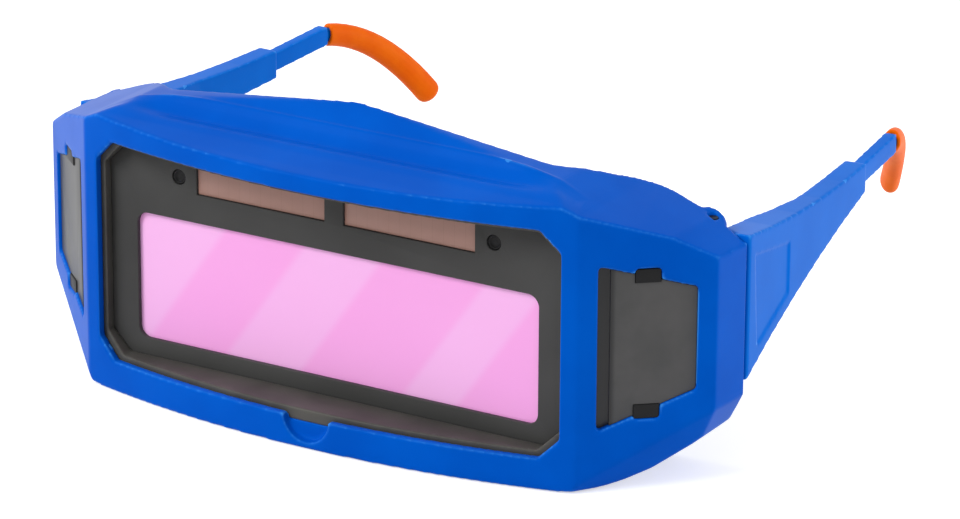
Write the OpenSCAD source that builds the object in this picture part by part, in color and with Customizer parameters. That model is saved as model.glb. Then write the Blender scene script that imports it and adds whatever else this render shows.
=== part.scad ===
// Welding goggles with a flat self-darkening filter cartridge, side lenses and folding,
// telescoping temples.
// X is the wearer's left to right as seen from the front, Y points back to the head, Z is up.
// Pieces are drawn about the centre of the view window and then set down by placed(), so that
// the origin is at the bottom centre of the whole object.

/* [View window] */
// Width of the view window
view_w = 90; // [76:0.5:98]
// Height of the view window
view_h = 26; // [20:0.5:30]
// Corner radius of the view window
view_r = 2.4; // [1:0.1:5]

/* [Filter cartridge] */
// Width of the cartridge
cart_w = 108; // [104:0.5:132]
// Height of the cartridge
cart_h = 51; // [50:0.5:62]
// Thickness of the cartridge, front to back
cart_t = 7; // [6.6:0.1:12]
// How far the cartridge's middle lies above the middle of the view window
cart_lift = 5.3; // [3:0.1:6]
// How far the glass lies behind the face of the cartridge
glass_set = 1.0; // [0.6:0.1:1.6]
// Wall of the cartridge's two half cases
case_t = 1.2; // [0.8:0.1:1.6]
// Thickness of the coated filter glass and of each liquid-crystal shutter
pane_t = 1.1; // [0.8:0.05:1.4]
// Thickness of each polarising film
film_t = 0.2; // [0.1:0.05:0.3]
// How far the panes reach past the window on each side
pane_over = 2; // [1:0.1:2.4]
// Width of one solar cell
solar_w = 29; // [20:0.5:33]
// Height of one solar cell
solar_h = 8; // [5:0.5:9]
// Gap between the two solar cells
solar_gap = 4.2; // [2:0.1:8]
// Height of the solar cells' lower edge above the middle of the view window
solar_z = 18.8; // [17.6:0.1:20]
// Radius of each arc sensor
sensor_r = 1.5; // [1:0.1:1.9]
// Diameter of the backup coin cell
coin_d = 12.5; // [9.5:0.5:13]

/* [Front frame] */
// Wall of the moulded frame
wall = 2.2; // [1.8:0.1:2.8]
// How far the middle of the front face bows forward of its two corners
bow = 7.5; // [5:0.1:9]
// Thickness of the lip around the front opening
lip_t = 1.8; // [1.4:0.1:2.2]
// How far the lip covers the cartridge at its two ends
lip_side = 2.2; // [1.6:0.1:3]
// How far the lip covers the cartridge at top and bottom
lip_top = 3; // [2.4:0.1:4]
// Width of the face beside the opening
cheek_rim = 3.3; // [3:0.1:5]
// Height of the face above the opening
brow_rim = 3.6; // [3.2:0.1:5]
// Height of the face below the opening
chin_rim = 6.3; // [5.5:0.1:8]
// Chamfer at the corners of the front opening
opening_cut = 4.2; // [2:0.1:6]
// Rise of the brow from the front edge to the rear rim, at the middle
crown_rise = 9.4; // [6:0.1:12]
// Rise of the brow where the forehead hollow ends
brow_rise = 4.8; // [3:0.1:6]
// Half-width of the forehead hollow
brow_half = 40; // [34:0.5:44]
// Length of each side panel along its slope
panel_len = 26.3; // [24:0.1:32]
// Angle of each side panel from the front face
panel_angle = 41; // [36:0.5:46]
// Drop of the side panel's top edge from front to back
panel_drop = 9.4; // [7:0.1:11]
// Rise of the side panel's bottom edge from front to back
panel_rise = 12; // [9:0.1:14]
// Height of the bevel line above the lower edge at the front
bevel = 3.4; // [2:0.1:4.5]
// How far the lower edge of the cheek hangs below its bevel line
skirt = 5.6; // [3:0.1:6]
// Width of the finger notch in the lower lip
notch_w = 10; // [8:0.5:14]

/* [Side lenses] */
// Length of the side lens along the panel
lens_len = 18.9; // [16:0.1:20]
// Height of the side lens at its front end
lens_front_h = 32.6; // [28:0.1:34]
// Height of the side lens at its rear end
lens_rear_h = 20.3; // [16:0.1:22]
// Thickness of the side lens
lens_t = 1.4; // [1:0.1:2]
// How far the side lens lies below the panel's face
lens_set = 0.6; // [0.4:0.1:1.2]
// Width of each lens clip
clip_w = 5; // [4:0.1:7]

/* [Temples] */
// Radius of the hinge pin
pin_r = 1.0; // [0.8:0.05:1.3]
// Distance from the hinge pin out to the temple's outer face
pin_inset = 7.6; // [7:0.1:9]
// Toe-in of the temples
toe = 5; // [3:0.5:7]
// Thickness of the temple's plate
temple_t = 2.4; // [2:0.1:3]
// Distance from the hinge pin to the end of the sleeve
temple_len = 58.7; // [52:0.1:72]
// Length of the sleeve that guides the arm
sleeve_len = 31.7; // [26:0.1:34]
// Width of the temple's top flange at the hinge
flange_w = 6.7; // [5:0.1:7]

/* [Arms and ear tips] */
// Thickness of the sliding arm
arm_t = 2.5; // [2:0.1:3]
// Height of the sliding arm
arm_h = 4.0; // [3.4:0.1:5]
// Length of arm that shows between the sleeve and the ear tip
arm_out = 18.9; // [16:0.1:26]
// How far the arm can be pushed in
slide_in = 12; // [6:0.5:12]
// How far the arm can be pulled out
slide_out = 8; // [4:0.5:8]
// Upward slope of the arm towards the ear
arm_pitch = 3.7; // [2:0.1:5]
// Length of the ear tip, measured back from its mouth
tip_reach = 24.5; // [20:0.5:30]
// How far the ear tip curls inward
tip_tuck = 9.3; // [6:0.1:11]
// How far the ear tip drops
tip_drop = 17.2; // [12:0.1:21]
// Wall of the ear tip around the arm's core
tip_wall = 0.9; // [0.6:0.1:1.3]

/* [Hidden] */

$fn = 64;
seam = 0.05;        // gap between pieces that sit face to face
loose = 0.15;       // gap around a piece that slides or drops in
far = 400;          // longer than anything that is cut

// Filter cartridge and what lies behind it, front to back
face_y = -glass_set;
cart_back = face_y + cart_t;
cover_t = 1.0;
cover_y = cart_back + seam;
retainer_t = 1.1;
retainer_y = cover_y + cover_t + seam;
brow_y = retainer_y + retainer_t;
stack_t = 3 * pane_t + 3 * film_t;
split_y = face_y + 4;
board_y = 1.4;
board_t = 1.0;
board_z = solar_z - 2.2;
board_h = cart_lift + cart_h / 2 - case_t - 0.6 - board_z;

// Front opening
open_w = cart_w - 2 * lip_side;
open_h = cart_h - 2 * lip_top;
open_top = cart_lift + open_h / 2;
open_bottom = cart_lift - open_h / 2;
bezel_rim = 1.6;

// Front face of the frame
corner_x = open_w / 2 + cheek_rim;
front_top = open_top + brow_rim;
front_bottom = open_bottom - chin_rim;
corner_y = -4.0;
front_y = corner_y - bow;
bow_r = (corner_x * corner_x + bow * bow) / (2 * bow);

// Side panels, cheeks and hinge
cheek_x = corner_x + panel_len * cos(panel_angle);
cheek_y = corner_y + panel_len * sin(panel_angle);
cheek_top = front_top - panel_drop;
cheek_bottom = front_bottom + bevel + panel_rise;
cheek_depth = 9.8;
cheek_flare = 4;
rear_x = cheek_x + cheek_depth * tan(cheek_flare);
hinge_y = cheek_y + cheek_depth;
pin_x = rear_x + 0.3 - pin_inset;
frame_end = hinge_y + 0.35;
lobe_x = cheek_x - 15;
block_x = cart_w / 2 + loose + 1.6;
lug_r = pin_r + 1.7;
lug_top = cheek_top + 0.5;
lug_bottom = cheek_bottom + 1.8;
lug_t = 3;
bore_gap = 0.04;
knuckle_gap = 0.3;

// Side lenses, measured along the panel and up from the middle of the view window
lens_start = 3.8;
lens_mid_front = 5.0;
lens_mid_rear = 6.2;
clip_set = 0.3;
clip_t = 1.1;

// Temple, measured from the hinge pin
skin = 0.9;
arm_x = pin_inset - skin - loose - arm_t / 2;
arm_z = cheek_top - 5.7;
sleeve_y = temple_len - sleeve_len;
sleeve_t = arm_t + 2 * loose + 2 * skin;
sleeve_h = arm_h + 2 * loose + 2 * skin;
stop_len = 3;
arm_front = sleeve_y - slide_out - 0.3 - stop_len;
tip_y = temple_len + arm_out;
tip_z = arm_z + arm_out * tan(arm_pitch);
core_a = arm_t / 2 - 0.35;
core_b = arm_h / 2 - 0.5;
tip_gap = 0.1;
tip_a = core_a + tip_gap + tip_wall - 0.1;
tip_b = core_b + tip_gap + tip_wall;
tip_swell = 1.12;

// Where the whole object stands
tip_end = [arm_x - tip_tuck, tip_y + tip_reach, tip_z - tip_drop];
back_y = hinge_y + tip_end.y * cos(toe) + tip_end.x * sin(toe) + tip_a * tip_swell;
mid_y = (front_y + back_y) / 2;

// Sets every piece down in the frame of the whole object
module placed() {
    translate([0, -mid_y, -front_bottom]) children();
}

// Draws a piece on the +X side, or its mirror image on the other side
module sided(side) {
    placed() {
        if (side > 0) children();
        else mirror([1, 0, 0]) children();
    }
}

// A box centred on X, from low to high in Y and Z
module slab(width, y0, y1, z0, z1) {
    translate([-width / 2, y0, z0]) cube([width, y1 - y0, z1 - z0]);
}

// An upright outline in X and Z, given depth from y0 to y1
module upright(y0, y1) {
    translate([0, y1, 0]) rotate([90, 0, 0]) linear_extrude(height = y1 - y0) children();
}

// A rectangle with round corners, centred on X
module round_box(width, z0, z1, radius) {
    union() {
        translate([-width / 2 + radius, z0]) square([width - 2 * radius, z1 - z0]);
        translate([-width / 2, z0 + radius]) square([width, z1 - z0 - 2 * radius]);
        for (x = [-1, 1], z = [z0 + radius, z1 - radius])
            translate([x * (width / 2 - radius), z]) circle(r = radius);
    }
}

// The outline of the front opening with its cut corners, grown by grow
module opening_outline(grow = 0) {
    half_w = open_w / 2 + grow;
    top = open_top + grow;
    bottom = open_bottom - grow;
    polygon([
        [-half_w + opening_cut, bottom], [half_w - opening_cut, bottom],
        [half_w, bottom + opening_cut], [half_w, top - opening_cut],
        [half_w - opening_cut, top], [-half_w + opening_cut, top],
        [-half_w, top - opening_cut], [-half_w, bottom + opening_cut]]);
}

// A corner moved inward by depth, between edges that run at the angles a0 and a1
function inset(corner, a0, a1, depth) =
    corner + depth / cos((a1 - a0) / 2) * [-sin((a0 + a1) / 2), cos((a0 + a1) / 2)];

// Depth of the rear rim at a distance x from the middle
function ease(t) = t * t * (3 - 2 * t);
function rim_y(x) =
    brow_y + (frame_end - brow_y) * ease(min(1, max(0, (x - brow_half) / (lobe_x - brow_half))));

// Plan of the frame: bowed front, sloping side panels, cheeks and the hollow of the forehead
module frame_plan() {
    rim_steps = 8;
    half = concat(
        [[0, front_y - 1], [corner_x, front_y - 1], [corner_x, corner_y], [cheek_x, cheek_y],
         [rear_x, frame_end], [lobe_x, frame_end]],
        [for (i = [1:rim_steps])
            let (x = lobe_x + (brow_half - lobe_x) * i / rim_steps) [x, rim_y(x)]],
        [[0, brow_y]]);
    intersection() {
        union() {
            polygon(half);
            mirror([1, 0]) polygon(half);
        }
        translate([0, front_y + bow_r]) circle(r = bow_r, $fn = 200);
    }
}

// Plan of the space behind the side panels, open to the rear
module cavity_plan() {
    bow_end = asin(corner_x / bow_r);
    front = inset([corner_x, corner_y], bow_end, panel_angle, wall);
    cheek = inset([cheek_x, cheek_y], panel_angle, 90 - cheek_flare, wall);
    half = [[0, front.y], front, cheek, [rear_x - wall, frame_end + 1], [0, frame_end + 1]];
    polygon(half);
    mirror([1, 0]) polygon(half);
}

// Front view of the frame, with its top and bottom walls thinned by depth
module frame_front(depth) {
    drop = depth * 1.1;
    half = [
        [0, front_top + crown_rise - drop], [brow_half, front_top + brow_rise - drop],
        [brow_half + 7, front_top + brow_rise - 1.2 - drop],
        [corner_x, front_top - 0.1 - drop], [pin_x, cheek_top + 4.3 - drop],
        [cheek_x, cheek_top - drop], [rear_x + 1, cheek_top - 0.2 - drop],
        [rear_x + 1, cheek_bottom + drop], [cheek_x - 0.15 * skirt, cheek_bottom - 0.6 * skirt + drop],
        [cheek_x - 0.35 * skirt, cheek_bottom - skirt + drop],
        [cheek_x - 0.8 * skirt, cheek_bottom - 1.4 * skirt + drop],
        [corner_x + 9.4, front_bottom + 3.1 + drop], [corner_x + 5.7, front_bottom + 1.3 + drop],
        [corner_x + 2.9, front_bottom + 0.4 + drop],
        [corner_x - 3, front_bottom + drop], [0, front_bottom + drop]];
    polygon(half);
    mirror([1, 0]) polygon(half);
}

// Side view of the frame: the brow rises from the front edge over a shallow scoop to the rim
module frame_side() {
    ridge_y = 2.9;
    polygon([
        [front_y - 1, front_bottom], [frame_end + 4, front_bottom],
        [frame_end + 4, front_top + crown_rise], [brow_y, front_top + crown_rise],
        [ridge_y, front_top + brow_rise], [corner_y, front_top + 1.6],
        [front_y + 3, front_top + 0.5], [front_y - 1, front_top - 0.2]]);
}

// Moves to the outer face of the side panel: X runs back along it, Y points inward
module on_panel() {
    translate([corner_x, corner_y, 0]) rotate([0, 0, panel_angle]) children();
}

// The side lens's outline along the panel, grown by grow
module lens_outline(grow = 0) {
    s0 = lens_start - grow;
    s1 = lens_start + lens_len + grow;
    half_0 = lens_front_h / 2 + grow;
    half_1 = lens_rear_h / 2 + grow;
    polygon([
        [s0, lens_mid_front - half_0], [s1, lens_mid_rear - half_1],
        [s1, lens_mid_rear + half_1], [s0, lens_mid_front + half_0]]);
}

// Height of the lens outline's edge at its middle: 1 for the top edge, -1 for the bottom edge
function lens_edge(way) =
    (lens_mid_front + lens_mid_rear) / 2 + way * (lens_front_h + lens_rear_h) / 4;

// The slot of a lens clip from a given depth, and the clip itself, smaller by gap
module clip_block(way, gap, front) {
    clip_bite = 1.2;
    clip_seat = 1.6;
    low = way > 0 ? lens_edge(1) - clip_bite : lens_edge(-1) - clip_seat;
    translate([lens_start + (lens_len - clip_w) / 2 + gap, front + gap, low + gap])
        cube([clip_w - 2 * gap, clip_set + clip_t - front - 2 * gap, clip_bite + clip_seat - 2 * gap]);
}

// Window boss inside one side panel
module panel_boss() {
    boss_grow = 1.6;
    intersection() {
        on_panel() upright(0.2, lens_set + lens_t + 1.2) lens_outline(boss_grow);
        translate([0, 0, front_bottom]) cube([far, far, far]);
    }
}

// Everything that is cut from one side panel
module panel_cuts() {
    ledge = 1.5;
    on_panel() {
        upright(-3, lens_set + lens_t) lens_outline(0);
        upright(-3, 14) lens_outline(-ledge);
        for (way = [-1, 1]) clip_block(way, 0, -1);
    }
}

// Two lugs that hold one hinge pin
module hinge_lugs() {
    difference() {
        union() {
            intersection() {
                for (z = [lug_bottom - lug_t, lug_top]) translate([0, 0, z]) {
                    height = z > 0 ? far / 10 : lug_t;
                    translate([pin_x, hinge_y, 0]) cylinder(r = lug_r, h = height);
                    translate([pin_x - lug_r + 0.4, hinge_y - lug_r, 0])
                        cube([rear_x - pin_x + lug_r - 1, lug_r + frame_end - hinge_y, height]);
                }
                upright(0, frame_end + 6) frame_front(0);
            }
        }
        translate([pin_x, hinge_y, front_bottom]) cylinder(r = pin_r + bore_gap, h = far);
    }
}

// All space that one bevel plane leaves: the plane leans inward below a line that starts at a
// point of the plan and runs back at an angle and a slope; depth moves it inward
module inside_bevel(start, height, angle, rise, depth) {
    lean = 25;
    out = depth / cos(lean);
    translate([start.x, start.y, height]) rotate([0, 0, angle]) rotate([0, -rise, 0])
        sideways(-far, far) polygon([
            [out - far * tan(lean), far], [out + far * tan(lean), -far],
            [3 * far, -far], [3 * far, far]]);
}

// Space inside the bevels of both side panels and both cheeks
module inside_bevels(depth) {
    start_h = front_bottom + bevel / 2;
    line_h = cheek_bottom - 0.2;
    intersection_for (side = [0, 1]) mirror([side, 0, 0]) intersection() {
        inside_bevel([corner_x, corner_y], start_h, panel_angle,
            atan((line_h - start_h) / panel_len), depth);
        inside_bevel([cheek_x, cheek_y], line_h, 90 - cheek_flare, 0, depth);
    }
}

module frame_shell() {
    difference() {
        intersection() {
            inside_bevels(0);
            translate([0, 0, front_bottom - 1]) linear_extrude(height = far) frame_plan();
            upright(front_y - 2, frame_end + 4) frame_front(0);
            rotate([90, 0, 90]) translate([0, 0, -far / 2]) linear_extrude(height = far) frame_side();
        }
        difference() {
            intersection() {
                inside_bevels(wall);
                translate([0, 0, front_bottom - 1]) linear_extrude(height = far) cavity_plan();
                upright(front_y - 2, frame_end + 4) frame_front(wall);
            }
            slab(2 * block_x, front_y - 2, brow_y, -far, far);
        }
    }
}

module front_frame() {
    cores = 6;
    core_pitch = 13.4;
    color([0.02, 0.35, 0.82]) placed() difference() {
        union() {
            frame_shell();
            for (side = [0, 1]) mirror([side, 0, 0]) {
                panel_boss();
                hinge_lugs();
            }
        }
        // pocket for the cartridge, its cover plate and the retainer, open to the rear
        slab(cart_w + 2 * loose, face_y - seam, brow_y + 1,
            cart_lift - cart_h / 2 - loose, cart_lift + cart_h / 2 + loose);
        // seat of the bezel behind the bowed lip
        intersection() {
            upright(front_y - 1, face_y) opening_outline(bezel_rim + seam);
            translate([0, front_y + bow_r, -far / 2]) cylinder(r = bow_r - lip_t, h = far, $fn = 200);
        }
        upright(front_y - 2, 0) opening_outline();
        // finger notch in the lower lip
        translate([0, front_y - 1, open_bottom]) rotate([-90, 0, 0])
            cylinder(r = notch_w / 2, h = lip_t + 1);
        // hollows behind the brow
        for (i = [0:cores - 1]) translate([(i - (cores - 1) / 2) * core_pitch, 0, 0])
            slab(core_pitch - 2.4, brow_y - 5, brow_y + 1,
                cart_lift + cart_h / 2 + 1.8, front_top + brow_rise - 1.6);
        // peg holes of the nose pad
        for (x = nose_pegs()) translate([x, brow_y - 4, nose_peg_z()]) rotate([-90, 0, 0])
            cylinder(r = peg_r + seam, h = 6);
        for (side = [0, 1]) mirror([side, 0, 0]) {
            panel_cuts();
            translate([pin_x, hinge_y, lug_top]) cylinder(r = pin_r + bore_gap, h = 20);
            // room for the temple's knuckle under the top wall
            translate([pin_x, hinge_y, lug_bottom])
                cylinder(r = lug_r + knuckle_gap, h = lug_top - lug_bottom);
            retainer_ear(0);
        }
    }
}

// Slot of the retainer's ear in the pocket's side wall, and the ear itself, smaller by gap
module retainer_ear(gap) {
    ear_h = 12;
    translate([cart_w / 2 - 1, retainer_y + gap, cart_lift - ear_h / 2 + gap])
        cube([1.9 - gap, retainer_t - 0.3 - gap, ear_h - 2 * gap]);
}

module filter_bezel() {
    rim_in = 0.9;
    color([0.16, 0.16, 0.15]) placed() difference() {
        intersection() {
            upright(front_y, face_y - seam) opening_outline(bezel_rim);
            translate([0, front_y + bow_r, -far / 2])
                cylinder(r = bow_r - lip_t - seam, h = far, $fn = 200);
        }
        upright(front_y - 1, 1) opening_outline(-rim_in);
    }
}

// A full-size plate of the cartridge from y0 to y1
module cart_plate(y0, y1, inset_by = 0) {
    slab(cart_w - 2 * inset_by, y0, y1,
        cart_lift - cart_h / 2 + inset_by, cart_lift + cart_h / 2 - inset_by);
}

// The view window, grown by grow, from y0 to y1
module window(y0, y1, grow = 0) {
    upright(y0, y1) round_box(view_w + 2 * grow, -view_h / 2 - grow, view_h / 2 + grow, view_r);
}

// One solar cell's place, grown by grow
module solar_block(side, y0, y1, grow = 0) {
    translate([side * (solar_w + solar_gap) / 2, 0, 0])
        slab(solar_w + 2 * grow, y0, y1, solar_z - grow, solar_z + solar_h + grow);
}

sensor_x = solar_w + solar_gap / 2 + 4.1;
sensor_z = solar_z + 2.9;

module cartridge_front_case() {
    color([0.2, 0.2, 0.19]) placed() difference() {
        cart_plate(face_y, split_y);
        cart_plate(0, split_y + 1, case_t);
        window(face_y - 1, 1);
        for (side = [-1, 1]) {
            solar_block(side, face_y - 1, 1);
            translate([side * sensor_x, face_y - 1, sensor_z]) rotate([-90, 0, 0])
                cylinder(r = sensor_r + seam, h = 3);
        }
    }
}

module cartridge_rear_case() {
    rib = board_z - view_h / 2 - 1.3;
    color([0.2, 0.2, 0.19]) placed() difference() {
        union() {
            difference() {
                cart_plate(split_y + seam, cart_back);
                cart_plate(split_y, cart_back - case_t, case_t);
            }
            window(stack_t + seam, cart_back - 0.5, 1 + rib);
        }
        window(0, cart_back + 1, 1);
    }
}

// One pane of the optical stack, its front face at y
module pane(y, thickness) {
    slab(view_w + 2 * pane_over, y, y + thickness,
        -view_h / 2 - pane_over, view_h / 2 + pane_over);
}

module filter_glass() color([1, 0.65, 0.92]) placed() pane(0, pane_t);

module shutter_front() color([0.55, 0.6, 0.5]) placed() pane(pane_t + film_t, pane_t);

module shutter_rear() color([0.55, 0.6, 0.5]) placed() pane(2 * (pane_t + film_t), pane_t);

module polariser_films() {
    color([0.35, 0.38, 0.4]) placed()
        for (layer = [1:3]) pane(layer * (pane_t + film_t) - film_t, film_t);
}

module circuit_board() {
    color([0.05, 0.35, 0.2]) placed()
        slab(view_w + 6, board_y, board_y + board_t, board_z, board_z + board_h);
}

module backup_cell() {
    color([0.75, 0.76, 0.78]) placed()
        translate([0, board_y + board_t + seam, board_z + board_h / 2]) rotate([-90, 0, 0])
            cylinder(d = min(coin_d, board_h), h = 1.6);
}

module solar_cell(side) {
    color([0.6, 0.42, 0.35]) placed() {
        solar_block(side, face_y + 0.5, seam, -seam);
        solar_block(side, 2 * seam, board_y - seam, 0.5);
    }
}
module solar_cell_left() solar_cell(-1);
module solar_cell_right() solar_cell(1);

module arc_sensor(side) {
    color([0.05, 0.05, 0.06]) placed()
        translate([side * sensor_x, face_y + 0.3, sensor_z]) rotate([-90, 0, 0])
            cylinder(r = sensor_r, h = board_y - seam - face_y - 0.3);
}
module arc_sensor_left() arc_sensor(-1);
module arc_sensor_right() arc_sensor(1);

module inner_cover_plate() {
    color([0.85, 0.9, 0.92, 0.4]) placed() cart_plate(cover_y, cover_y + cover_t, seam);
}

module cartridge_retainer() {
    rail = 5;
    color([0.12, 0.12, 0.12]) placed() {
        difference() {
            cart_plate(retainer_y, brow_y, seam);
            cart_plate(0, brow_y + 1, rail);
        }
        for (side = [0, 1]) mirror([side, 0, 0]) retainer_ear(seam);
    }
}

module side_lens(side) {
    strip_w = 2.4;
    strip_set = 0.6;
    color([0.2, 0.2, 0.2, 0.85]) sided(side) on_panel() difference() {
        upright(lens_set, lens_set + lens_t - seam) lens_outline(-seam);
        for (way = [-1, 1]) clip_block(way, 0, -1);
        // step along the front edge, by which the lens is lifted out
        upright(-1, lens_set + strip_set)
            translate([lens_start - 1, -far / 2]) square([strip_w + 1, far]);
    }
}
module side_lens_left() side_lens(-1);
module side_lens_right() side_lens(1);

module lens_clips(side) {
    color([0.04, 0.04, 0.04]) sided(side)
        on_panel() for (way = [-1, 1]) clip_block(way, seam, clip_set);
}
module lens_clips_left() lens_clips(-1);
module lens_clips_right() lens_clips(1);

peg_r = 1.2;
function nose_pegs() = [-12.5, 12.5];
function nose_peg_z() = (front_bottom + cart_lift - cart_h / 2) / 2;

module nose_pad() {
    pad_t = 5;
    top = front_bottom + 10.5;
    color([0.1, 0.1, 0.1]) placed() {
        difference() {
            upright(brow_y + seam, brow_y + pad_t) polygon([
                [-17, front_bottom + 0.3], [-13, top - 1.5], [-10, top], [10, top],
                [13, top - 1.5], [17, front_bottom + 0.3]]);
            upright(0, far / 2) {
                polygon([[-8.5, front_bottom - 1], [-4.5, top - 6], [4.5, top - 6],
                    [8.5, front_bottom - 1]]);
                translate([0, top - 6.4]) circle(r = 4.5);
            }
        }
        for (x = nose_pegs()) translate([x, brow_y - 3, nose_peg_z()]) rotate([-90, 0, 0])
            cylinder(r = peg_r, h = 4);
    }
}

module hinge_pin(side) {
    color([0.7, 0.7, 0.72]) sided(side) translate([pin_x, hinge_y, lug_bottom - lug_t])
        cylinder(r = pin_r, h = lug_top - lug_bottom + lug_t + 3.2);
}
module hinge_pin_left() hinge_pin(-1);
module hinge_pin_right() hinge_pin(1);

// Moves to the hinge pin, with Y along the toed-in temple and X pointing outward
module on_hinge() {
    translate([pin_x, hinge_y, 0]) rotate([0, 0, toe]) children();
}

// Heights of the temple's top and bottom edges at the hinge and at the sleeve's end
temple_top = cheek_top + 1.1;
temple_bottom = cheek_bottom + 2.3;
sleeve_top = arm_z + sleeve_h / 2;
sleeve_bottom = arm_z - sleeve_h / 2;

// A point of the temple's edge, a share of the way from the hinge to the sleeve's end
function edge(share, z0, z1, sag) =
    [temple_len * share, z0 + (z1 - z0) * share + sag * 4 * share * (1 - share)];
top_sag = -1.5;
bottom_sag = 1.6;
edge_shares = [0.2, 0.4, 0.6, 0.8, 1];

// Side outline of the temple, with its top edge lowered by depth
module temple_outline(depth = 0) {
    gap = 0.3;
    polygon(concat(
        [[gap, temple_top - depth]],
        [for (s = edge_shares) edge(s, temple_top - depth, sleeve_top - depth, top_sag)],
        [for (i = [4:-1:0]) edge(edge_shares[i], temple_bottom, sleeve_bottom, bottom_sag)],
        [[gap, temple_bottom]]));
}

// A side outline in Y and Z, given thickness from x0 to x1
module sideways(x0, x1) {
    translate([x0, 0, 0]) rotate([90, 0, 90]) linear_extrude(height = x1 - x0) children();
}

// Moves to the arm's line at the sleeve's end, with Y pointing along the arm to the ear
module on_arm() {
    translate([arm_x, temple_len, arm_z]) rotate([arm_pitch, 0, 0]) children();
}

module temple(side) {
    flange_t = 2;
    label = [[3, 18.5], [20, 15.5], [20, 5.2], [5, -0.5]];
    color([0.08, 0.5, 0.97]) sided(side) on_hinge() difference() {
        union() {
            sideways(pin_inset - temple_t, pin_inset) temple_outline();
            // top flange, tapering to the sleeve
            intersection() {
                sideways(pin_inset - flange_w, pin_inset) difference() {
                    temple_outline();
                    temple_outline(flange_t);
                }
                linear_extrude(height = far / 2) polygon([
                    [pin_inset, 0], [pin_inset - temple_t, 0], [pin_inset - flange_w, 3.6],
                    [pin_inset - flange_w, 14], [pin_inset - sleeve_t, sleeve_y + 6],
                    [pin_inset - sleeve_t, temple_len], [pin_inset, temple_len]]);
            }
            // sleeve around the arm, its outer side inside the plate
            intersection() {
                on_arm() translate([-sleeve_t / 2, -sleeve_len - 4, -sleeve_h / 2])
                    cube([sleeve_t - skin / 2, sleeve_len + 8, sleeve_h]);
                translate([0, sleeve_y, -far / 2]) cube([far, sleeve_len, far]);
            }
            // knuckle and its web
            translate([0, 0, lug_bottom + knuckle_gap]) {
                height = lug_top - lug_bottom - 2 * knuckle_gap;
                cylinder(r = lug_r, h = height);
                translate([0, 0.3, 0]) cube([pin_inset - 0.5, lug_r - 0.7, height]);
            }
        }
        translate([0, 0, -far / 2]) cylinder(r = pin_r + 0.05, h = far);
        // channel of the arm, open inward ahead of the sleeve
        on_arm() translate([-arm_t / 2 - loose, -temple_len + 3.2, -arm_h / 2 - loose])
            cube([arm_t + 2 * loose, temple_len, arm_h + 2 * loose]);
        // label recess
        sideways(pin_inset - 0.35, pin_inset + 1) polygon(label);
    }
}
module temple_left() temple(-1);
module temple_right() temple(1);

// Middle line of the ear tip, a quadratic curve measured in the temple's own frame
tip_p0 = [arm_x, tip_y, tip_z];
tip_p1 = tip_p0 + [-0.32 * tip_tuck, 0.58 * tip_reach, -0.11 * tip_drop];
function curve(t) = (1 - t) * (1 - t) * tip_p0 + 2 * t * (1 - t) * tip_p1 + t * t * tip_end;
function slope(t) = 2 * (1 - t) * (tip_p1 - tip_p0) + 2 * t * (tip_end - tip_p1);
function unit(v) = v / norm(v);

// One ring of a sweep: centre, direction, half-width a and half-height b
sides = 16;
function ring(centre, along, a, b) =
    let (across = unit(cross(along, [0, 0, 1])), upward = cross(across, unit(along)))
    [for (k = [0:sides - 1])
        let (angle = 360 * k / sides)
        centre + a * cos(angle) * across + b * sin(angle) * upward];

// A closed skin over a list of rings
module skin_over(rings) {
    last = len(rings) - 1;
    polyhedron(
        points = [for (r = rings, p = r) p],
        faces = concat(
            [[for (k = [sides - 1:-1:0]) k]],
            [for (i = [0:last - 1], k = [0:sides - 1])
                let (n = (k + 1) % sides)
                [i * sides + k, i * sides + n, (i + 1) * sides + n, (i + 1) * sides + k]],
            [[for (k = [0:sides - 1]) last * sides + k]]));
}

// Rings along the ear tip from share t0 to t1
function along_tip(t0, t1, steps, a, b, swell) =
    [for (i = [0:steps])
        let (t = t0 + (t1 - t0) * i / steps, grow = 1 + (swell - 1) * ease(max(0, min(1, t))))
        ring(curve(t), slope(t), a * grow, b * grow)];

core_end = 0.6;

module slide_arm(side) {
    arm_len = tip_y - arm_front;
    color([0.08, 0.45, 0.95]) sided(side) on_hinge() {
        on_arm() {
            translate([-arm_t / 2, arm_front - temple_len, -arm_h / 2])
                cube([arm_t, arm_len, arm_h]);
            // stop that meets the sleeve when the arm is pulled out
            translate([-arm_t / 2 - 1.2, arm_front - temple_len, -arm_h / 2])
                cube([1.3, stop_len, arm_h]);
        }
        skin_over(along_tip(-0.03, core_end, 6, core_a, core_b, 1));
    }
}
module slide_arm_left() slide_arm(-1);
module slide_arm_right() slide_arm(1);

module ear_tip(side) {
    cap_steps = 4;
    end_a = tip_a * tip_swell;
    end_b = tip_b * tip_swell;
    cap = [for (i = [1:cap_steps])
        let (angle = 84 * i / cap_steps, at = tip_end + unit(slope(1)) * end_a * sin(angle))
        ring(at, slope(1), end_a * cos(angle), end_b * cos(angle))];
    color([1, 0.43, 0]) sided(side) on_hinge() difference() {
        skin_over(concat(along_tip(0.03, 1, 12, tip_a, tip_b, tip_swell), cap));
        skin_over(along_tip(-0.02, core_end + 0.02, 6, core_a + tip_gap, core_b + tip_gap, 1));
    }
}
module ear_tip_left() ear_tip(-1);
module ear_tip_right() ear_tip(1);

front_frame();
filter_bezel();
cartridge_front_case();
cartridge_rear_case();
filter_glass();
shutter_front();
shutter_rear();
polariser_films();
circuit_board();
backup_cell();
solar_cell_left();
solar_cell_right();
arc_sensor_left();
arc_sensor_right();
inner_cover_plate();
cartridge_retainer();
side_lens_left();
side_lens_right();
lens_clips_left();
lens_clips_right();
nose_pad();
hinge_pin_left();
hinge_pin_right();
temple_left();
temple_right();
slide_arm_left();
slide_arm_right();
ear_tip_left();
ear_tip_right();
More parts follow.
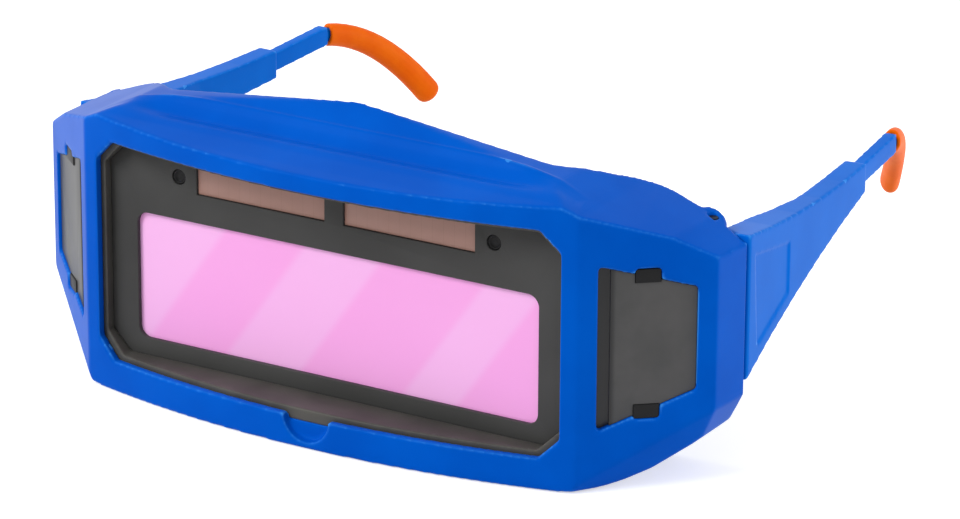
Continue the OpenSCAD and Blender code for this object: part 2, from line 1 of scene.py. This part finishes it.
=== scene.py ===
# %% [markdown]
# # Welding goggles, built around their CAD parts
# The CAD model gives every piece its place and size. This file gives each visible piece its finished
# form and its finish. Moulded pieces start as copies of the CAD shapes, whose edges are then rounded as
# a mould would round them, and the small sensor windows are turned from a profile. Panes, films, the
# board and the pins keep their CAD shape and only get a finish.

# %% Load the fixed frame and measure it
import math

import bmesh
import bpy
from mathutils import Matrix, Vector


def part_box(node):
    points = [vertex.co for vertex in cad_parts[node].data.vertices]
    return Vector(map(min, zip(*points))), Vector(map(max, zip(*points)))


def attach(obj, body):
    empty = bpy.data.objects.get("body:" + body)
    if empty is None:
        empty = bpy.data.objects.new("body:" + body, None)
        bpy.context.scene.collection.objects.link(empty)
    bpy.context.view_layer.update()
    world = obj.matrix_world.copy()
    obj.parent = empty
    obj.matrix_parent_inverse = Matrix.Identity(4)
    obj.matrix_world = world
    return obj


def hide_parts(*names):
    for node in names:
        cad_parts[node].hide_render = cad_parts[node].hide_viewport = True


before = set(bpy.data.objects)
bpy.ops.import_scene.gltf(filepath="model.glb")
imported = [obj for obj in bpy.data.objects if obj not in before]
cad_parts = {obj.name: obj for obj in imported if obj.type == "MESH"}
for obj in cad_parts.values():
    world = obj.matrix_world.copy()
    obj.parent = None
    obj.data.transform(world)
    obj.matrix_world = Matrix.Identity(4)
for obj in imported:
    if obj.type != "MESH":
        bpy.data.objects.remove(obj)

MM = 0.001
WHITE, BLACK = (1.0, 1.0, 1.0), (0.0, 0.0, 0.0)
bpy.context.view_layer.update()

# %% [markdown]
# The camera comes first. A long lens from almost a metre away gives the flat, catalogue-like view that
# small products are shown in. Its angles are given as azimuth, elevation and a slight roll, and its
# place as offsets along its own three axes, which keeps each number easy to change on its own.

# %% Camera
AZIMUTH, ELEVATION, ROLL = (math.radians(v) for v in (30.654, 20.153, 0.344))
FOCAL, SENSOR = 193.47, 36.0                            # both in mm
CAMERA_OFFSET = Vector((27.32, 10.61, 983.6)) * MM      # right, up and backward
NEAREST, FURTHEST = 0.05, 50                            # what the camera can see, in metres


def camera_axes(azimuth, elevation, roll):
    """The camera's right, up and backward directions."""
    right = Vector((math.cos(azimuth), math.sin(azimuth), 0))
    back = Vector((math.sin(azimuth) * math.cos(elevation),
                   -math.cos(azimuth) * math.cos(elevation), math.sin(elevation)))
    up = back.cross(right)
    return (right * math.cos(roll) + up * math.sin(roll),
            up * math.cos(roll) - right * math.sin(roll), back)


glass_low, glass_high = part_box("filter_glass")
window_centre = Vector((0, glass_low.y, (glass_low.z + glass_high.z) / 2))
axes = camera_axes(AZIMUTH, ELEVATION, ROLL)
place = window_centre + sum((axis * step for axis, step in zip(axes, CAMERA_OFFSET)), Vector())
camera_data = bpy.data.cameras.new("catalogue_camera")
camera_data.lens, camera_data.sensor_width = FOCAL, SENSOR
camera_data.clip_start, camera_data.clip_end = NEAREST, FURTHEST
camera = bpy.data.objects.new("catalogue_camera", camera_data)
camera.matrix_world = Matrix.Translation(place) @ Matrix(
    [[axis[row] for axis in axes] for row in range(3)]).to_4x4()
bpy.context.scene.collection.objects.link(camera)
bpy.context.scene.camera = camera
bpy.context.scene.view_settings.view_transform = "Standard"
print("camera at", [round(v, 4) for v in place])


def at(x, y, z):
    """A place in the shared frame from millimetres right, behind and above the window's centre."""
    return window_centre + Vector((x, y, z)) * MM


# %% [markdown]
# Shader maths reads best as plain sums. `Value` wraps one socket, so that `1 - mask * 0.4` adds the
# Math nodes by itself, and `Finish` makes a material and gives one method, `node`, for every other node.

# %% Shader helpers
class Value:
    """One number or colour that flows between nodes; sums on it add Math nodes."""

    def __init__(self, finish, socket):
        self.finish, self.socket = finish, socket

    def _maths(self, operation, *values):
        return self.finish.node("ShaderNodeMath", {"operation": operation}, dict(enumerate(values)))

    def __add__(self, other):
        return self._maths("ADD", self, other)

    def __radd__(self, other):
        return self._maths("ADD", other, self)

    def __sub__(self, other):
        return self._maths("SUBTRACT", self, other)

    def __rsub__(self, other):
        return self._maths("SUBTRACT", other, self)

    def __mul__(self, other):
        return self._maths("MULTIPLY", self, other)

    def __rmul__(self, other):
        return self._maths("MULTIPLY", other, self)

    def steps(self, low, high):
        """0 below low, 1 above high, and an eased slope between them."""
        return self.finish.node("ShaderNodeMapRange", {"interpolation_type": "SMOOTHSTEP"},
                                {"Value": self, "From Min": low, "From Max": high})


class Finish:
    """A material and the nodes that feed its Principled shader."""

    def __init__(self, name, **sockets):
        self.material = bpy.data.materials.new(name)
        self.material.use_nodes = True
        self.tree = self.material.node_tree
        self.shader = next(n for n in self.tree.nodes if n.type == "BSDF_PRINCIPLED")
        self.surface(sockets)

    def put(self, node, values):
        """Sets or links sockets of one node by name or number; a colour is red, green and blue."""
        for key, value in values.items():
            name = key.replace("_", " ") if isinstance(key, str) else key
            socket = node.inputs[name]
            if isinstance(value, Value):
                self.tree.links.new(value.socket, socket)
            elif socket.type == "RGBA":
                socket.default_value = (*value, 1)
            else:
                socket.default_value = value

    def surface(self, values):
        """Sets or links sockets of the shader itself."""
        self.put(self.shader, values)

    def node(self, kind, settings=None, values=None, output=0):
        """Adds any node: its settings first, then its sockets. Output is a number or a name."""
        node = self.tree.nodes.new(kind)
        for key, value in (settings or {}).items():
            setattr(node, key, value)
        self.put(node, values or {})
        return Value(self, node.outputs[output])

    def coordinates(self):
        """Object coordinates, which for every piece here are metres in the shared frame."""
        return self.node("ShaderNodeTexCoord", output="Object")

    def split(self, vector):
        """The x, y and z parts of a vector."""
        first = self.node("ShaderNodeSeparateXYZ", {}, {"Vector": vector})
        return [Value(self, socket) for socket in first.socket.node.outputs]

    def noise(self, size, detail, rough=0.5):
        """Soft noise whose blotches are about size metres across, from 0 to 1."""
        return self.node("ShaderNodeTexNoise", {}, {
            "Vector": self.coordinates(), "Scale": 1 / size, "Detail": detail, "Roughness": rough})

    def mix(self, factor, first, second):
        """Colour first where factor is 0, second where it is 1."""
        return self.node("ShaderNodeMix", {"data_type": "RGBA"},
                         {0: factor, 6: first, 7: second}, output=2)

    def bump(self, height, depth, strength):
        """Small relief: height from 0 to 1 stands for up to depth metres."""
        return self.node("ShaderNodeBump", {}, {
            "Height": height, "Distance": depth, "Strength": strength})


def srgb(red, green, blue):
    """Linear colour from the 0 to 255 values that a colour picker shows."""
    return tuple(((c / 255 + 0.055) / 1.055) ** 2.4 if c > 10 else c / 255 / 12.92
                 for c in (red, green, blue))


print("shader helpers ready")

# %% [markdown]
# Pieces that come out of a mould have no sharp edges. Bevelling each edge by hand would be slow on a
# shape with this many. Instead, a copy of the CAD shape is remeshed into a fine even grid of cells and
# relaxed a few times, so that every edge, outside and inside, gets the same small round, as in the
# steel mould. Flat areas stay flat, and a decimate step takes away the cells that they don't need.

# %% Mesh helpers
SEAM = 0.002 * MM           # points nearer to each other than this become one


def link(name, mesh):
    """A new object in the scene from a mesh."""
    piece = bpy.data.objects.new(name, mesh)
    bpy.context.scene.collection.objects.link(piece)
    return piece


def from_bmesh(name, bm):
    """A new object from a bmesh, which is freed."""
    mesh = bpy.data.meshes.new(name)
    bm.to_mesh(mesh)
    bm.free()
    return link(name, mesh)


def apply_modifiers(piece):
    """Turns the piece's modifiers into plain mesh."""
    bpy.context.view_layer.update()
    graph = bpy.context.evaluated_depsgraph_get()
    mesh = bpy.data.meshes.new_from_object(piece.evaluated_get(graph))
    piece.modifiers.clear()
    old, piece.data = piece.data, mesh
    bpy.data.meshes.remove(old)


def add_modifier(piece, kind, **settings):
    """Adds one modifier with its settings."""
    modifier = piece.modifiers.new(kind.lower(), kind)
    for key, value in settings.items():
        setattr(modifier, key, value)


def copy_of(node, name):
    """A copy of a CAD node's mesh as a new piece, its seams closed."""
    bm = bmesh.new()
    bm.from_mesh(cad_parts[node].data)
    bmesh.ops.remove_doubles(bm, verts=bm.verts, dist=SEAM)
    bmesh.ops.recalc_face_normals(bm, faces=bm.faces)
    piece = from_bmesh(name, bm)
    piece.data.materials.clear()
    return piece


def soften(piece, cell, rounds):
    """Adds a remesh to cells of that size and rounds of relaxing, which round every edge."""
    add_modifier(piece, "REMESH", mode="VOXEL", voxel_size=cell, adaptivity=0.0)
    add_modifier(piece, "SMOOTH", factor=0.5, iterations=rounds)


def thin_out(piece, keep):
    """Keeps about that share of the faces, applies every modifier and shades smoothly."""
    add_modifier(piece, "DECIMATE", ratio=keep)
    apply_modifiers(piece)
    piece.data.shade_smooth()
    print(piece.name, "has", len(piece.data.polygons), "faces")


def dress(piece, finish, body, node):
    """Gives a piece its finish and its body, and hides the CAD node it stands for."""
    piece.data.materials.clear()
    piece.data.materials.append(finish.material)
    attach(piece, body)
    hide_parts(node)


# %% [markdown]
# The blue shell is moulded plastic with a satin gloss: an even colour, a very fine grain, and
# highlights that are soft because the surface isn't perfectly flat. A broad noise moves colour and
# roughness a little, and a fine one makes the bump. The highlight is weak and tinted towards the
# plastic's own colour, which keeps the blue deep where a white room is mirrored in it. A painted
# highlight makes the outer edges paler. The temples get a lighter copy of the shell's blue: painted
# light, for the light from the right that falls on them.

# %% Blue plastic
EDGE_RANGE = (0.515, 0.57)  # Pointiness is 0.5 on flat areas and higher on outer edges


def tinted_plastic(name, colour, deep, tint, rough=0.34, blotch=18 * MM, grain=0.35 * MM,
                   depth=0.02 * MM, edge=None, shine=0.2):
    """Moulded plastic: two close colours in broad blotches, a fine grain, and a painted highlight: paler
    edges.
    """
    finish = Finish(name, IOR=1.5, Specular_IOR_Level=shine, Specular_Tint=tint)
    broad = finish.noise(blotch, 3)
    fine = finish.noise(grain, 2)
    base = finish.mix(broad.steps(0.3, 0.7), colour, deep)
    if edge:
        # painted highlight: outer edges are mixed towards the pale edge colour
        sharpness = finish.node("ShaderNodeNewGeometry", output="Pointiness")
        base = finish.mix(sharpness.steps(*EDGE_RANGE) * (0.5 + broad * 0.3), base, edge)
    finish.surface({
        "Base Color": base,
        "Roughness": rough - 0.04 + broad * 0.08,
        "Normal": finish.bump(fine, depth, 0.4)})
    return finish


BLUE_TINT = (0.1, 0.45, 1.0)
# painted highlight: the pale blue that the outer edges are painted with
PAINTED_EDGE_HIGHLIGHT = srgb(70, 160, 248)
shell_blue = tinted_plastic("shell_blue", srgb(0, 92, 204), srgb(0, 85, 195), BLUE_TINT,
                            edge=PAINTED_EDGE_HIGHLIGHT, shine=0.05)
# painted light: the temples' lighter blue stands in for the light from the right that falls on them
temple_blue_painted_light = tinted_plastic("temple_blue_painted_light", srgb(2, 112, 222), srgb(0, 105, 214), BLUE_TINT,
                             edge=PAINTED_EDGE_HIGHLIGHT, shine=0.05)
print("made", shell_blue.material.name, "and", temple_blue_painted_light.material.name)

# %% [markdown]
# The inner bezel, the cartridge cases, the retainer and the clips are dark plastics. They differ in
# how deep their colour is and in how coarse their grain is, so one function makes them all. The bezel
# is the same charcoal as the cases, but it gets a paler grey: painted light, for the light that its
# upward-facing ledge catches. The ear tips are silicone, soft and nearly matt, and the same function
# makes that too.

# %% Dark plastics and silicone
GREY_TINT = (0.7, 0.7, 0.7)
ORANGE_TINT = (1.0, 0.6, 0.25)
charcoal = tinted_plastic("charcoal", srgb(70, 70, 69), srgb(62, 62, 61), GREY_TINT, 0.5,
                          25 * MM, 0.3 * MM, 0.03 * MM)
# painted light: the bezel's paler grey stands for the light that its upward-facing ledge catches
painted_lit_bezel_grey = tinted_plastic("painted_lit_bezel_grey", srgb(86, 85, 80), srgb(74, 73, 69), GREY_TINT, 0.42,
                            12 * MM, 0.3 * MM, 0.02 * MM)
black_plastic = tinted_plastic("black_plastic", srgb(34, 34, 35), srgb(26, 26, 27), GREY_TINT, 0.45)
soft_black = tinted_plastic("soft_black", srgb(38, 38, 38), srgb(30, 30, 30), GREY_TINT, 0.7,
                            6 * MM, 0.5 * MM, 0.05 * MM)
orange_silicone = tinted_plastic("orange_silicone", srgb(255, 112, 4), srgb(250, 100, 0),
                                 ORANGE_TINT, 0.5, 5 * MM, 0.4 * MM, 0.03 * MM)
print("made four dark plastics and", orange_silicone.material.name)

# %% [markdown]
# The filter glass carries a coating that looks pink and mirrors the room as pale slanted bands. Real
# mirroring would need a room around the object. The bands are mixed into the colour instead: the
# pane's sideways place is shifted with its height, and eased steps switch the paler colour on and off.

# %% Coated filter glass
BAND_EDGES = [(-52, -34), (-16, 1), (24, 36)]   # start and end of each band across the pane, in mm
BAND_SOFTNESS = 1.2                             # half the width of a band's soft border, in mm
BAND_SLANT = 0.7                                # how far a band moves sideways per unit of height


def stripes(place, edges, softness):
    """1 inside each (start, end) pair along one coordinate, with soft borders; sizes in mm."""
    def past(edge):
        return place.steps((edge - softness) * MM, (edge + softness) * MM)

    return sum(past(start) * (1 - past(end)) for start, end in edges)


pink_glass = Finish("pink_glass", IOR=1.45, Specular_IOR_Level=0.3)
across, _, height = pink_glass.split(pink_glass.coordinates())
slanted = across - (height - window_centre.z) * BAND_SLANT
bands = stripes(slanted, BAND_EDGES, BAND_SOFTNESS)
cloud = pink_glass.noise(30 * MM, 2)
pink_glass.surface({
    "Base Color": pink_glass.mix(bands * 0.55 + cloud * 0.3, srgb(255, 168, 236),
                                 srgb(255, 196, 247)),
    "Roughness": 0.1 + cloud * 0.06})
print("made", pink_glass.material.name, "with", len(BAND_EDGES), "bands")

# %% [markdown]
# A solar cell is a brown film with fine, slightly darker contact lines across it, one every few
# millimetres. A cosine along the strip repeats without end, and steps near its crests leave thin lines.

# %% Solar film
FINGER_PITCH = 2.4 * MM
FINGER_CREST = (0.985, 1.0)     # the part of the wave that shows as a line

solar_strip = Finish("solar_strip", IOR=1.5, Specular_IOR_Level=0.4)
across, _, _ = solar_strip.split(solar_strip.coordinates())
wave = solar_strip.node("ShaderNodeMath", {"operation": "COSINE"},
                        {0: across * (2 * math.pi / FINGER_PITCH)})
film_grain = solar_strip.noise(4 * MM, 4)
solar_strip.surface({
    "Base Color": solar_strip.mix(wave.steps(*FINGER_CREST) * 0.35 + film_grain * 0.3,
                                  srgb(172, 132, 120), srgb(150, 112, 100)),
    "Roughness": 0.3 + film_grain * 0.15})
print("made", solar_strip.material.name)

# %% [markdown]
# The side lenses are dark and nearly opaque, so an opaque grey with faint smears looks like them and
# bakes well, where real glass would not. Along its front edge each lens steps down into shade, and
# that strip is painted close to black as painted shade; it follows the distance behind the lens's
# front edge.

# %% Side lenses
PAINTED_SHADE_FADE = (1.2 * MM, 1.9 * MM)   # from the front edge: where the strip starts to fade, and its end

dark_lens = Finish("dark_lens", IOR=1.5, Specular_IOR_Level=0.35)
smear = dark_lens.noise(9 * MM, 3, 0.6)
_, depth_in, _ = dark_lens.split(dark_lens.coordinates())
lens_low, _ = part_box("side_lens_right")
# painted shade: near black along the front edge, where the lens steps down into shade
painted_shade_strip = 1 - depth_in.steps(*(lens_low.y + distance for distance in PAINTED_SHADE_FADE))
lens_colour = dark_lens.mix(smear.steps(0.3, 0.75), srgb(64, 64, 64), srgb(74, 73, 73))
dark_lens.surface({
    "Base Color": dark_lens.mix(painted_shade_strip * 0.8, lens_colour, srgb(14, 14, 16)),
    "Roughness": 0.34 + smear * 0.1})
print("made", dark_lens.material.name)

# %% [markdown]
# The shell: a copy of the CAD moulding, its edges rounded. The brow is relaxed further than the rest,
# because on the real moulding it flows from the front edge over a shallow scoop to the rear rim, while
# the CAD has flat facets there. A vertex group says how strongly each point may move, and two smooth
# humps, one up and one down, bring back the ridge and the scoop that the relaxing takes away.

# %% The frame's shell
SHELL_CELL, SHELL_ROUNDS, SHELL_KEEP = 0.36 * MM, 9, 0.18
BROW_START = at(0, 0, 32.2).z       # just above the front face's top edge
BROW_RAMP, BROW_ROUNDS = 1.5 * MM, 25   # height over which the relaxing comes in, and its rounds
RIDGE_Y = at(0, 3.1, 0).y           # the crease where the scoop ends and the rim's slope begins
RIDGE_LIFT, RIDGE_WIDTH = 0.55, 0.6 * MM            # the lift is in mm
SCOOP_DEPTH, SCOOP_WIDTH = 1.3, 1.9 * MM            # the depth is in mm
SCOOP_AHEAD = 2.8 * MM              # the scoop's middle lies this far in front of the ridge
SHAPED_BEHIND = 6 * MM              # nothing is lifted further behind the ridge than this
BROW_HALF, BROW_FADE = 44 * MM, 3 * MM  # where ridge and scoop run out at the sides, and how softly


def relax_region(piece, weight, rounds):
    """Relaxes a mesh further where weight(point) is above 0."""
    group = piece.vertex_groups.new(name="region")
    for vertex in piece.data.vertices:
        value = weight(vertex.co)
        if value > 0:
            group.add([vertex.index], min(1, value), "REPLACE")
    add_modifier(piece, "SMOOTH", factor=0.5, iterations=rounds, vertex_group="region")
    apply_modifiers(piece)
    piece.vertex_groups.clear()


def hump(distance, width):
    """A smooth hump: 1 at distance 0, falling to 0 over about two widths."""
    return math.exp(-(distance / width) ** 2)


shell = copy_of("front_frame", "shell")
soften(shell, SHELL_CELL, SHELL_ROUNDS)
apply_modifiers(shell)
relax_region(shell, lambda p: (p.z - BROW_START) / BROW_RAMP, BROW_ROUNDS)
for vertex in shell.data.vertices:
    p = vertex.co
    if p.z > BROW_START and p.y < RIDGE_Y + SHAPED_BEHIND:
        fade = 1 / (1 + math.exp((abs(p.x) - BROW_HALF) / BROW_FADE))
        lift = (RIDGE_LIFT * hump(p.y - RIDGE_Y, RIDGE_WIDTH)
                - SCOOP_DEPTH * hump(p.y - RIDGE_Y + SCOOP_AHEAD, SCOOP_WIDTH))
        p.z += lift * fade * MM
thin_out(shell, SHELL_KEEP)
dress(shell, shell_blue, "frame", "front_frame")

# %% [markdown]
# The other moulded pieces go through the same steps. The table gives each one's cell size, which sets
# how small its rounded edges are, the number of relaxing rounds, and the share of faces to keep.

# %% Moulded pieces
MOULDED = [
    # piece, CAD node, body, slot, finish, cell in mm, rounds, share of faces kept
    ("bezel", "filter_bezel", "frame", "charcoal", painted_lit_bezel_grey, 0.28, 4, 0.3),
    ("nose_saddle", "nose_pad", "frame", "soft_black", soft_black, 0.3, 8, 0.3),
    ("retainer", "cartridge_retainer", "frame", "black_plastic", black_plastic, 0.25, 3, 0.2)]
for side in ("left", "right"):
    temple, arm = "temple_" + side, "arm_" + side
    MOULDED += [
        ("temple_plate_" + side, temple, temple, "blue_temple", temple_blue_painted_light, 0.26, 12, 0.25),
        ("sliding_arm_" + side, "slide_arm_" + side, arm, "blue_temple", temple_blue_painted_light, 0.22, 6, 0.12),
        ("silicone_tip_" + side, "ear_tip_" + side, arm, "orange_tip", orange_silicone,
         0.2, 14, 0.12)]
for name, node, body, slot, finish, cell, rounds, keep in MOULDED:
    piece = copy_of(node, name)
    soften(piece, cell * MM, rounds)
    thin_out(piece, keep)
    dress(piece, finish, body, node)

# %% [markdown]
# The cartridge cases, the side lenses and the clips have flat faces and tiny radii. A remesh would
# wash those out, so their copies are cleaned up into large flat faces, and a bevel modifier rounds the
# edges between them.

# %% Bevelled pieces
NEARLY_FLAT = math.radians(3)       # faces that meet at less than this become one
BEVEL_ANGLE = math.radians(35)      # edges sharper than this are rounded
CREASE_ANGLE = math.radians(40)     # edges sharper than this stay sharp in the shading


def bevelled(node, name, width, segments=3):
    """A copy of a CAD node whose sharp edges are rounded by width."""
    piece = copy_of(node, name)
    bm = bmesh.new()
    bm.from_mesh(piece.data)
    bmesh.ops.dissolve_limit(bm, angle_limit=NEARLY_FLAT, verts=bm.verts, edges=bm.edges)
    bm.to_mesh(piece.data)
    bm.free()
    add_modifier(piece, "BEVEL", width=width, segments=segments, limit_method="ANGLE",
                 angle_limit=BEVEL_ANGLE, harden_normals=False)
    apply_modifiers(piece)
    piece.data.shade_smooth()
    piece.data.set_sharp_from_angle(angle=CREASE_ANGLE)
    return piece


BEVELLED = [
    # piece, CAD node, slot, finish, width in mm
    ("front_case", "cartridge_front_case", "charcoal", charcoal, 0.25),
    ("rear_case", "cartridge_rear_case", "charcoal", charcoal, 0.25)]
for side in ("left", "right"):
    BEVELLED += [("side_shade_" + side, "side_lens_" + side, "dark_lens", dark_lens, 0.3),
                 ("clips_" + side, "lens_clips_" + side, "black_plastic", black_plastic, 0.15)]
for name, node, slot, finish, width in BEVELLED:
    dress(bevelled(node, name, width * MM), finish, "frame", node)
print(len(BEVELLED), "bevelled pieces made")

# %% [markdown]
# Each sensor is a small dark window: a low dome inside a raised rim. A turned shape is made by
# spinning a profile, so a few points give the whole piece. The solar cells beside them are thin flat
# strips, which the bevel of the last step suits.

# %% Sensors and solar strips
EYE_PROFILE = [
    # share of the radius, depth behind the front in mm: the dome, then the rim
    (0, 0.35), (0.3, 0.37), (0.62, 0.5), (0.72, 0.1), (0.86, 0), (0.97, 0.1), (1, 0.3)]
STRIP_BEVEL, STRIP_SEGMENTS = 0.12 * MM, 2


def spun(name, centre, profile, steps=32):
    """A turned shape about the Y axis from (radius, depth) points in metres."""
    bm = bmesh.new()
    rings = []
    for radius, depth in profile:
        if radius == 0:
            rings.append([bm.verts.new(centre + Vector((0, depth, 0)))])
        else:
            rings.append([bm.verts.new(centre + Vector((
                radius * math.cos(2 * math.pi * k / steps), depth,
                radius * math.sin(2 * math.pi * k / steps)))) for k in range(steps)])
    for first, second in zip(rings, rings[1:]):
        for k in range(steps):
            n = (k + 1) % steps
            corners = [first[k % len(first)], first[n % len(first)],
                       second[n % len(second)], second[k % len(second)]]
            bm.faces.new(list(dict.fromkeys(corners)))
    bmesh.ops.recalc_face_normals(bm, faces=bm.faces)
    piece = from_bmesh(name, bm)
    piece.data.shade_smooth()
    return piece


for side in ("left", "right"):
    sensor, cell = "arc_sensor_" + side, "solar_cell_" + side
    low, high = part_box(sensor)
    centre = Vector(((low.x + high.x) / 2, low.y, (low.z + high.z) / 2))
    radius = (high.x - low.x) / 2
    back = high.y - low.y
    outline = [(share * radius, depth * MM) for share, depth in EYE_PROFILE]
    eye = spun("sensor_eye_" + side, centre, outline + [(radius, back), (0, back)])
    dress(eye, black_plastic, "frame", sensor)
    strip_piece = bevelled(cell, "solar_strip_" + side, STRIP_BEVEL, STRIP_SEGMENTS)
    dress(strip_piece, solar_strip, "frame", cell)
print("sensors and solar strips made")

# %% [markdown]
# What's left are CAD pieces whose shape is already right: panes, films, the board with its coin cell,
# and the hinge pins. They keep their CAD meshes and only get a finish. Panes and films let light
# through and carry a faint haze; metal is a bare colour with fine scratches in its roughness.

# %% Finishes of the CAD pieces that stay
def darker(colour, share):
    """A colour with that share of its brightness."""
    return tuple(part * share for part in colour)


def clear_sheet(name, colour, weight, rough):
    """A pane or film; weight says how much light goes through."""
    finish = Finish(name, IOR=1.5, Transmission_Weight=weight)
    haze = finish.noise(15 * MM, 2)
    finish.surface({"Base Color": finish.mix(haze, colour, darker(colour, 0.92)),
                    "Roughness": rough + haze * 0.04})
    return finish


def metal(name, colour, rough, size):
    """Bare metal with scratches about size metres across."""
    finish = Finish(name, Metallic=1.0)
    scratch = finish.noise(size, 4, 0.6)
    finish.surface({"Base Color": finish.mix(scratch, colour, darker(colour, 0.8)),
                    "Roughness": rough + scratch * 0.15,
                    "Normal": finish.bump(scratch, 0.01 * MM, 0.3)})
    return finish


BOARD_TINT = (0.8, 1.0, 0.9)
pin_steel = metal("pin_steel", srgb(52, 56, 64), 0.4, 0.4 * MM)
shutter = clear_sheet("shutter_glass", srgb(140, 158, 128), 0.5, 0.08)
STAYING = {
    "filter_glass": pink_glass, "shutter_front": shutter, "shutter_rear": shutter,
    "polariser_films": clear_sheet("polariser", srgb(90, 97, 102), 0.4, 0.1),
    "inner_cover_plate": clear_sheet("clear_cover", srgb(217, 230, 235), 0.95, 0.03),
    "circuit_board": tinted_plastic("solder_mask", srgb(20, 90, 52), srgb(14, 76, 44),
                                    BOARD_TINT, 0.4, 3 * MM, 0.5 * MM),
    "backup_cell": metal("cell_steel", srgb(190, 192, 198), 0.25, 0.6 * MM),
    "hinge_pin_left": pin_steel, "hinge_pin_right": pin_steel}
for node, finish in STAYING.items():
    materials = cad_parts[node].data.materials
    materials.clear()
    materials.append(finish.material)
print(len(STAYING), "CAD pieces keep their shape")

# %% [markdown]
# The object stands on a white floor under an even sky. A brighter sky would make them white, but it
# would wash out the object too. White is a matter of what the camera and mirrors see, so the sky and
# the floor are brighter for camera, glossy and transmission rays only, and the light on the object
# doesn't change. The floor adds that white to its own shading, which keeps the shadow.

# %% Floor and sky
FLOOR_HALF = 3.0            # half the floor's width, in metres
FLOOR_GAP = 0.2 * MM        # the floor lies this far below the object
FLOOR_COLOUR = (0.8, 0.8, 0.8)
FLOOR_GLOW = 0.55
SKY_LIGHT = 0.5             # how bright the sky is for the object; the camera sees 1


def seen_directly(finish):
    """1 for rays from the camera, mirrors and glass, else 0."""
    rays = finish.node("ShaderNodeLightPath").socket.node.outputs
    total = sum(Value(finish, rays[name]) for name in (
        "Is Camera Ray", "Is Glossy Ray", "Is Transmission Ray"))
    return finish.node("ShaderNodeMath", {"operation": "MINIMUM"}, {0: total, 1: 1.0})


class Sky(Finish):
    """The world's own nodes, used in the same way as a material's."""

    def __init__(self, name):
        self.material = bpy.data.worlds.new(name)
        self.material.use_nodes = True
        self.tree = self.material.node_tree
        self.shader = self.tree.nodes["Background"]


floor_finish = Finish("white_floor", Base_Color=FLOOR_COLOUR, Roughness=0.9,
                      Specular_IOR_Level=0.0, Emission_Strength=FLOOR_GLOW)
floor_finish.surface({
    "Emission Color": floor_finish.mix(seen_directly(floor_finish), BLACK, WHITE)})
floor_mesh = bpy.data.meshes.new("floor")
floor_mesh.from_pydata([(x * FLOOR_HALF, y * FLOOR_HALF, 0)
                        for x, y in ((-1, -1), (1, -1), (1, 1), (-1, 1))], [], [(0, 1, 2, 3)])
floor = link("floor", floor_mesh)
floor.location.z = -FLOOR_GAP
floor.data.materials.append(floor_finish.material)

sky = Sky("studio_sky")
sky.surface({"Color": sky.mix(seen_directly(sky), (SKY_LIGHT,) * 3, WHITE), "Strength": 1.0})
bpy.context.scene.world = sky.material
print("floor and sky made")

# %% [markdown]
# In a studio, large soft lamps light the product, and a larger lamp gives a softer shadow. One lamp in
# front and to the left lights the face, one on the right lights the temple, and a weak one on the left
# keeps the far side from going dark. They stay weak, because the sky gives most of the light.

# %% Lamps
LAMPS = [
    # name, place in metres, width in metres, power in watts
    ("front_lamp", (-0.45, -0.8, 0.75), 0.5, 7.0),
    ("side_lamp", (0.85, 0.3, 0.3), 0.4, 3.3),
    ("left_lamp", (-0.8, -0.1, 0.55), 0.4, 1.4)]
LAMP_TARGET = at(0, 20, 10)


def lamp(name, spot, size, power):
    """A round soft lamp aimed at the object."""
    data = bpy.data.lights.new(name, "AREA")
    data.shape, data.size, data.energy = "DISK", size, power
    light = bpy.data.objects.new(name, data)
    bpy.context.scene.collection.objects.link(light)
    light.location = spot
    light.rotation_euler = (LAMP_TARGET - Vector(spot)).to_track_quat("-Z", "Y").to_euler()


for row in LAMPS:
    lamp(*row)
print(len(LAMPS), "lamps made")
